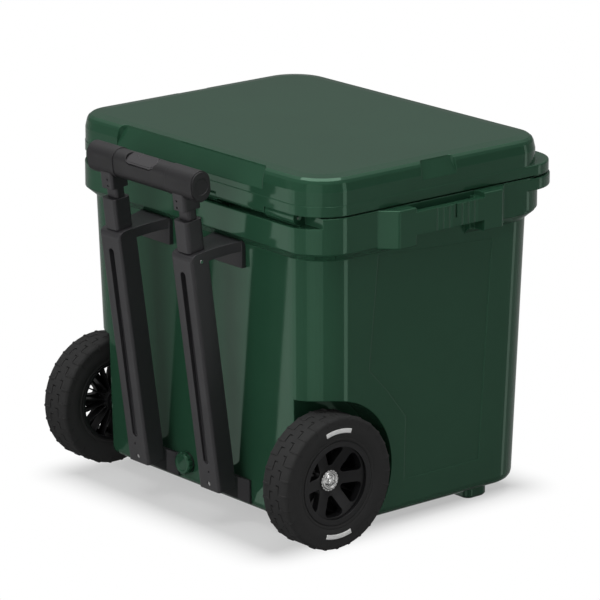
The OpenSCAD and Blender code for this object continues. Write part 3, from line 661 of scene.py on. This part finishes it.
    def build_tyre(self) -> None:
        """Sweep the tyre's section and give its tread the relief.

        Each edge of a cleat or cut falls between two steps of the turn, just inside and just
        outside it, and further steps stand between the cleats. The relief moves the tread
        outward and the side wall sideways.
        """
        across, radius = self.section()
        starts = ((0.0, self.cleat), (0.5, self.cleat),
                  (self.groove_span, self.cut), (self.groove_span + 0.5, self.cut))
        edges = {round((at + near * half / self.pitch) % 1, 6)
                 for at, half in starts for near in (-1.3, -0.8, 0.8, 1.3)}
        between = {0.22, 0.30, 0.38, 0.72, 0.80, 0.88}
        steps = np.array(sorted(edges | between))
        phase = np.tile(steps, self.lugs)
        turn = (np.repeat(np.arange(self.lugs), len(steps)) + phase) * 2 * math.pi / self.lugs
        x, r, t, f = np.broadcast_arrays(across, radius, turn[:, None], phase[:, None])
        height = self.relief(x, r, f)
        wall = r < self.radius - self.shoulder - self.cleat_rise - 0.2 * MM
        points = self.spin(x + np.where(wall, np.sign(x) * height * 0.5, 0.0),
                           r + np.where(wall, 0.0, height), t)
        faces = sheet_faces(len(turn), len(across), True, True)
        made = piece(f"tread_{self.side.word}", points, faces, Finish.TYRE, self.body,
                     flip=self.side is Side.LEFT)
        made.data.set_sharp_from_angle(angle=math.radians(35))
        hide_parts(f"tyre_{self.side.word}")

    def build_marks(self) -> None:
        """Two plain pale arcs on the outer side of the tyre, a hair proud of its wall."""
        wall = len(self.wall) + len(self.upper_wall) + 1
        across, radius = (values[:wall] for values in self.section())
        r = np.linspace(*self.mark_band, 5)
        x = np.interp(r, radius, across)
        for name, middle in (("top", math.pi / 2), ("bottom", -math.pi / 2)):
            t = (middle + np.linspace(-0.5, 0.5, 41) * self.mark_span)[:, None]
            top, low = (self.spin(x + lift, r, t) for lift in (self.mark_rise, -self.mark_rise))
            points, faces = closed_slab(top, low)
            piece(f"mark_{name}_{self.side.word}", points, faces, Finish.MARK, self.body,
                  flip=self.side is Side.LEFT)

    def build(self) -> None:
        """Build and dress the wheel."""
        self.dress()
        self.build_tyre()
        self.build_marks()


@dataclass
class PullHandle:
    """The two rails, the telescoping tubes and the grip."""

    def dress(self) -> None:
        """Finish the handle's pieces."""
        dress(Finish.FRAME, "rail_left", "rail_right", "tube_collars", "grip_sockets")
        dress(Finish.GRIP, "grip_centre", "grip_end_left", "grip_end_right")
        dress(Finish.BUTTON, "release_button")
        dress(Finish.TUBE, "middle_tubes", "inner_tubes")
        dress(Finish.CHROME, "rail_screws")

    def build(self) -> None:
        """Build and dress the handle."""
        self.dress()


@dataclass
class Axle:
    """The axle with its spacers, washers and push-on caps.

    A cap is turned about the axle: a domed crown with short slots in its shoulder, a hollow
    round it, and a raised ring on the washer.

    Attributes:
        slots: slots round one cap.
        slot_depth: depth of a slot where it is deepest.
        slot_at: radius where a slot is deepest.
        slot_width: how far from there, along the radius, a slot fades.
        crown_points: how many of the outline's points a slot can press in.
        steps: points round a cap.
        outline: radius and height off the washer, in millimetres, from the crown to the foot.
    """

    slots: int = 6
    slot_depth: float = 1.4 * MM
    slot_at: float = 5.6 * MM
    slot_width: float = 1.3 * MM
    crown_points: int = 9
    steps: int = 96
    outline: tuple[tuple[float, float], ...] = (
        (0.0, 3.95), (2.0, 3.90), (3.8, 3.70), (5.0, 3.45), (6.2, 2.95), (7.2, 2.10),
        (7.8, 1.20), (8.1, 0.45), (8.8, 0.15), (9.4, 0.35), (9.9, 0.95), (10.6, 1.25),
        (11.4, 1.10), (12.0, 0.55), (12.4, 0.15), (12.4, 0.05), (6.0, 0.05), (0.0, 0.05))

    def cap_faces(self, rings: int) -> list[list[int]]:
        """Faces of a cap: bands between the rings, and a fan at the crown and at the foot.

        Args:
            rings: points of the outline between the crown's tip and the foot's.

        Returns:
            The faces, by point number. The two tips come after all other points.
        """
        bands = sheet_faces(self.steps, rings, False, True)
        row = np.arange(self.steps)
        after = (row + 1) % self.steps
        tip = np.full(self.steps, self.steps * rings)
        crown = np.stack([tip, row * rings, after * rings], -1)
        foot = np.stack([tip + 1, after * rings + rings - 1, row * rings + rings - 1], -1)
        return [*bands.tolist(), *crown.tolist(), *foot.tolist()]

    def build_cap(self, side: Side) -> None:
        """Turn one end's cap and press its slots in.

        A point stands off the washer by its place in the outline, less the slot's depth times a
        soft square wave of the turn and a bump over the shoulder.

        Args:
            side: the end of the axle.
        """
        low, high = box_of("axle_washers")
        face = high[0] if side is Side.RIGHT else low[0]
        middle = (low + high) / 2
        radius, height = (np.array(values) * MM for values in zip(*self.outline))
        turn = np.linspace(0, 2 * math.pi, self.steps + 1)[:-1, None]
        on = ease((np.cos(turn * self.slots) - 0.35) / 0.25)
        shoulder = np.exp(-((radius - self.slot_at) / self.slot_width) ** 2)
        shoulder *= np.arange(len(radius)) < self.crown_points
        height = height - on * shoulder * self.slot_depth
        radius, turn = np.broadcast_arrays(radius, turn)
        points = np.stack([face + side.value * height, middle[1] + radius * np.cos(turn),
                           middle[2] + radius * np.sin(turn)], -1)
        points = np.concatenate([points[:, 1:-1].reshape(-1, 3), points[:1, 0], points[:1, -1]])
        made = piece(f"cap_{side.word}", points, self.cap_faces(len(self.outline) - 2),
                     Finish.CHROME, "chest", flip=side is Side.LEFT)
        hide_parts("axle_bolts")

    def build(self) -> None:
        """Dress the axle's pieces and build both caps."""
        dress(Finish.STEEL, "axle")
        dress(Finish.CHROME, "axle_washers", "axle_bolts")
        dress(Finish.RIM, "axle_spacers")
        for side in Side:
            self.build_cap(side)


# -------------------------------------------------------------------- studio


@dataclass(frozen=True)
class Softbox:
    """A lit panel that faces the cooler.

    Attributes:
        name: the panel's name.
        azimuth: direction from the cooler to the panel, in degrees from +X towards +Y.
        height: height of the panel's middle above the floor.
        distance: level distance of the panel from the cooler's middle.
        size: the panel's width and height.
        radiance: its brightness, where 1 shows as white.
        aim: height of the point that it faces.
        mirrored: whether glossy surfaces show it.
    """

    name: str
    azimuth: float
    height: float
    distance: float
    size: tuple[float, float]
    radiance: float
    aim: float = 0.25
    mirrored: bool = True

    def place(self) -> None:
        """Put the panel in the scene."""
        light = bpy.data.lights.new(self.name, "AREA")
        light.shape = "RECTANGLE"
        light.size, light.size_y = self.size
        light.energy = self.radiance * math.pi * self.size[0] * self.size[1]
        lamp = bpy.data.objects.new(self.name, light)
        turn = math.radians(self.azimuth)
        spot = Vector((math.cos(turn) * self.distance, math.sin(turn) * self.distance, self.height))
        facing = (Vector((0, 0, self.aim)) - spot).to_track_quat("-Z", "Y")
        lamp.matrix_world = Matrix.Translation(spot) @ facing.to_matrix().to_4x4()
        lamp.visible_camera = False
        lamp.visible_glossy = self.mirrored
        bpy.context.scene.collection.objects.link(lamp)


@dataclass
class Studio:
    """Pale floor, soft light and the camera.

    Attributes:
        azimuth: direction that the camera stands in, in degrees from -Y towards +X.
        elevation: how far the camera looks down, in degrees.
        reach: how far back along its line of sight the camera stands.
        shift_right: how far the camera is moved to its own right.
        shift_up: how far the camera is moved along its own up axis.
        row_offset: how far the camera is moved along Y.
        lens: focal length in millimetres.
        floor_half: half of the floor's width.
        shadow_core: half sizes in X and Y of the floor that keeps the whole shadow.
        shadow_reach: distances from it where the floor starts and ends its fade into white.
        ambient: strength of the even light all round.
        shine: what glossy surfaces see, as height in the room from 0 to 1 and brightness.
        boxes: the lit panels.
    """

    azimuth: float = 230.07
    elevation: float = 15.98
    reach: float = 5.5522
    shift_right: float = -0.01056
    shift_up: float = 0.24323
    row_offset: float = -0.027485
    lens: float = 240.0
    floor_half: float = 14.0
    shadow_reach: tuple[float, float] = (-0.07, 0.08)
    shadow_core: tuple[float, float] = (0.21, 0.21)
    ambient: float = 0.16
    shine: tuple[tuple[float, float], ...] = (
        (0.0, 0.02), (0.42, 0.05), (0.55, 0.14), (0.75, 0.27), (1.0, 0.4))
    boxes: tuple[Softbox, ...] = (
        Softbox("overhead", 140, 2.6, 0.3, (2.2, 2.2), 3.1, 0.2),
        Softbox("back_panel", 58, -0.15, 1.75, (0.95, 1.4), 0.62, -0.15),
        Softbox("camera_panel", 122, 0.2, 2.2, (1.3, 2.2), 0.45, 0.2),
        Softbox("strip", 196, 0.2, 2.0, (0.36, 2.2), 1.2, 0.2),
        Softbox("back_fill", 98, 0.9, 1.9, (1.6, 1.2), 2.4, 0.2, False),
        Softbox("front_fill", 282, 1.0, 2.0, (1.8, 1.2), 1.7, 0.2, False),
        Softbox("front_panel", 316, -0.30, 2.2, (0.60, 1.3), 0.60, -0.30),
        Softbox("front_strip", 236, 0.0, 2.2, (0.16, 1.9), 0.80, 0.0),
    )

    def place_camera(self) -> None:
        """Place the camera at the viewing angle, with no shift and no depth of field."""
        turn, tilt = math.radians(self.azimuth), math.radians(self.elevation)
        right = Vector((math.cos(turn), math.sin(turn), 0))
        up = Vector((-math.sin(turn) * math.sin(tilt), math.cos(turn) * math.sin(tilt),
                     math.cos(tilt)))
        back = right.cross(up)
        spot = back * self.reach + right * self.shift_right + up * self.shift_up
        spot.y += self.row_offset
        camera = bpy.data.objects.new("camera", bpy.data.cameras.new("camera"))
        camera.data.lens = self.lens
        camera.data.sensor_width = 36.0
        camera.data.clip_end = 60.0
        facing = Matrix((right, up, back)).transposed().to_4x4()
        camera.matrix_world = Matrix.Translation(spot) @ facing
        bpy.context.scene.collection.objects.link(camera)
        bpy.context.scene.camera = camera

    def light_world(self) -> None:
        """Light the room: even light on matt surfaces, white behind the cooler for the camera.

        Glossy surfaces see a room that is dark below, pale at the horizon and grey above.
        """
        world = bpy.data.worlds.new("studio")
        bpy.context.scene.world = world
        world.use_nodes = True
        nodes, links = world.node_tree.nodes, world.node_tree.links
        nodes.clear()
        out = nodes.new("ShaderNodeOutputWorld")
        even = nodes.new("ShaderNodeBackground")
        even.inputs["Strength"].default_value = self.ambient
        room = nodes.new("ShaderNodeBackground")
        sky = nodes.new("ShaderNodeTexCoord")
        split = nodes.new("ShaderNodeSeparateXYZ")
        ramp = nodes.new("ShaderNodeValToRGB")
        rise = nodes.new("ShaderNodeMapRange")
        rise.inputs["From Min"].default_value = -1.0
        links.new(sky.outputs["Generated"], split.inputs["Vector"])
        links.new(split.outputs["Z"], rise.inputs["Value"])
        links.new(rise.outputs["Result"], ramp.inputs["Fac"])
        stops = ramp.color_ramp.elements
        for at, level in self.shine:
            stop = stops.new(at) if 0 < at < 1 else stops[int(at)]
            stop.color = (level, level, level, 1)
        links.new(ramp.outputs["Color"], room.inputs["Color"])
        white = nodes.new("ShaderNodeBackground")
        path = nodes.new("ShaderNodeLightPath")
        shine = nodes.new("ShaderNodeMath")
        shine.operation = "MAXIMUM"
        links.new(path.outputs["Is Glossy Ray"], shine.inputs[0])
        links.new(path.outputs["Is Transmission Ray"], shine.inputs[1])
        first, second = nodes.new("ShaderNodeMixShader"), nodes.new("ShaderNodeMixShader")
        links.new(shine.outputs["Value"], first.inputs["Fac"])
        links.new(even.outputs[0], first.inputs[1])
        links.new(room.outputs[0], first.inputs[2])
        links.new(path.outputs["Is Camera Ray"], second.inputs["Fac"])
        links.new(first.outputs[0], second.inputs[1])
        links.new(white.outputs[0], second.inputs[2])
        white.inputs["Color"].default_value = (1, 1, 1, 1)
        links.new(second.outputs[0], out.inputs["Surface"])

    def lay_floor(self) -> None:
        """Lay a plain pale floor that keeps the cooler's shadow and fades into white.

        The fade follows the distance from the box of shadow_core: the length of how far a place
        lies beyond it in X and in Y.
        """
        half = self.floor_half
        mesh = bpy.data.meshes.new("floor")
        mesh.from_pydata([(-half, -half, 0), (half, -half, 0), (half, half, 0), (-half, half, 0)],
                         [], [(0, 1, 2, 3)])
        floor = bpy.data.objects.new("floor", mesh)
        bpy.context.scene.collection.objects.link(floor)
        floor.visible_glossy = False
        material = bpy.data.materials.new("floor")
        material.use_nodes = True
        nodes, links = material.node_tree.nodes, material.node_tree.links
        nodes.clear()
        out = nodes.new("ShaderNodeOutputMaterial")
        paper = nodes.new("ShaderNodeBsdfDiffuse")
        paper.inputs["Color"].default_value = (0.54, 0.54, 0.54, 1)
        glow = nodes.new("ShaderNodeEmission")
        glow.inputs["Color"].default_value = (1, 1, 1, 1)
        place = nodes.new("ShaderNodeTexCoord")
        steps = ("ABSOLUTE", "SUBTRACT", "MAXIMUM", "LENGTH")
        fold, past, beyond, far = (nodes.new("ShaderNodeVectorMath") for _ in steps)
        for step, operation in zip((fold, past, beyond, far), steps):
            step.operation = operation
        past.inputs[1].default_value = (*self.shadow_core, 0)
        fade = nodes.new("ShaderNodeMapRange")
        fade.interpolation_type = "SMOOTHSTEP"
        near, end = self.shadow_reach
        fade.inputs["From Min"].default_value = near
        fade.inputs["From Max"].default_value = end
        path = nodes.new("ShaderNodeLightPath")
        seen = nodes.new("ShaderNodeMath")
        seen.operation = "MULTIPLY"
        mix = nodes.new("ShaderNodeMixShader")
        links.new(place.outputs["Object"], fold.inputs[0])
        links.new(fold.outputs["Vector"], past.inputs[0])
        links.new(past.outputs["Vector"], beyond.inputs[0])
        links.new(beyond.outputs["Vector"], far.inputs[0])
        links.new(far.outputs["Value"], fade.inputs["Value"])
        links.new(fade.outputs["Result"], seen.inputs[0])
        links.new(path.outputs["Is Camera Ray"], seen.inputs[1])
        links.new(seen.outputs["Value"], mix.inputs["Fac"])
        links.new(paper.outputs[0], mix.inputs[1])
        links.new(glow.outputs[0], mix.inputs[2])
        links.new(mix.outputs[0], out.inputs["Surface"])
        mesh.materials.append(material)

    def build(self) -> None:
        """Set up camera, world, lamps and floor."""
        bpy.context.scene.view_settings.view_transform = "Standard"
        self.place_camera()
        self.light_world()
        self.lay_floor()
        for box in self.boxes:
            box.place()


def main() -> None:
    """Build every sub-assembly in order and report each one."""
    logging.basicConfig(level=logging.INFO, format="%(message)s")
    parts = [Studio(), Chest(), Lid(), Axle(), Wheel(Side.LEFT), Wheel(Side.RIGHT), PullHandle()]
    for part in parts:
        part.build()
        log.info("built %s", part.__class__.__name__)


if __name__ == "__main__":
    main()
